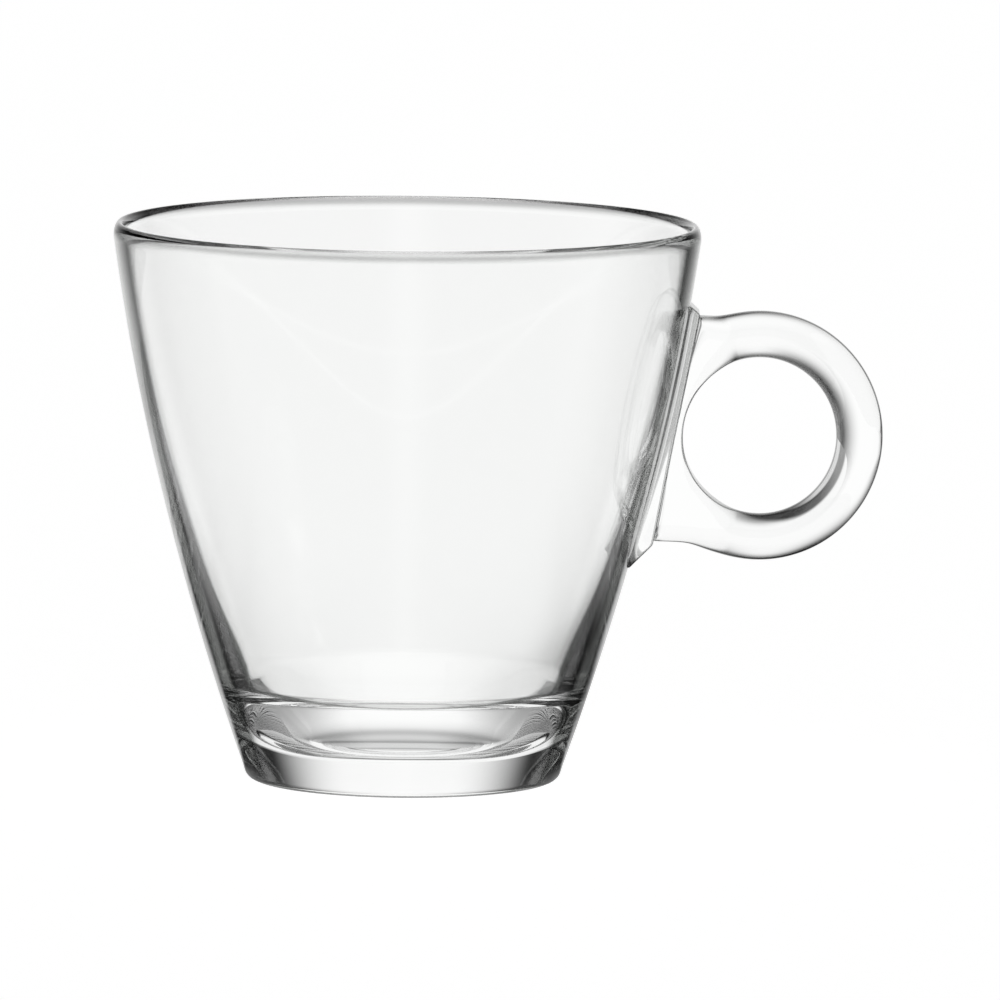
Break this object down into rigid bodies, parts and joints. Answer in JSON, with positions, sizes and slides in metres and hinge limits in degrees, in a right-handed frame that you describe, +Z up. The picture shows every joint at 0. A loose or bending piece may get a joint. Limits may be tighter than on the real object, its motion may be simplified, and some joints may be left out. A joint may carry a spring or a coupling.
{
  "type": "espresso cup",
  "caption": "Clear glass espresso cup: a round flared bowl with a heavy base, and a ring handle welded to the wall on a flat pad.",
  "frame": {"origin": "centre of the bowl's flat underside, on the surface that the cup stands on", "axes": "+Z up along the bowl's axis; +X from the axis towards the ring handle; the handle's middle plane is XZ"},
  "size_m": [0.0844, 0.0642, 0.0612],
  "materials": {
    "clear_glass": "clear pressed glass, fire-polished, with a faint grey-green cast where it is thick"
  },
  "bodies": {
    "root": {"bowl": "clear_glass", "handle_pad": "clear_glass", "ring_handle": "clear_glass"}
  },
  "joints": []
}
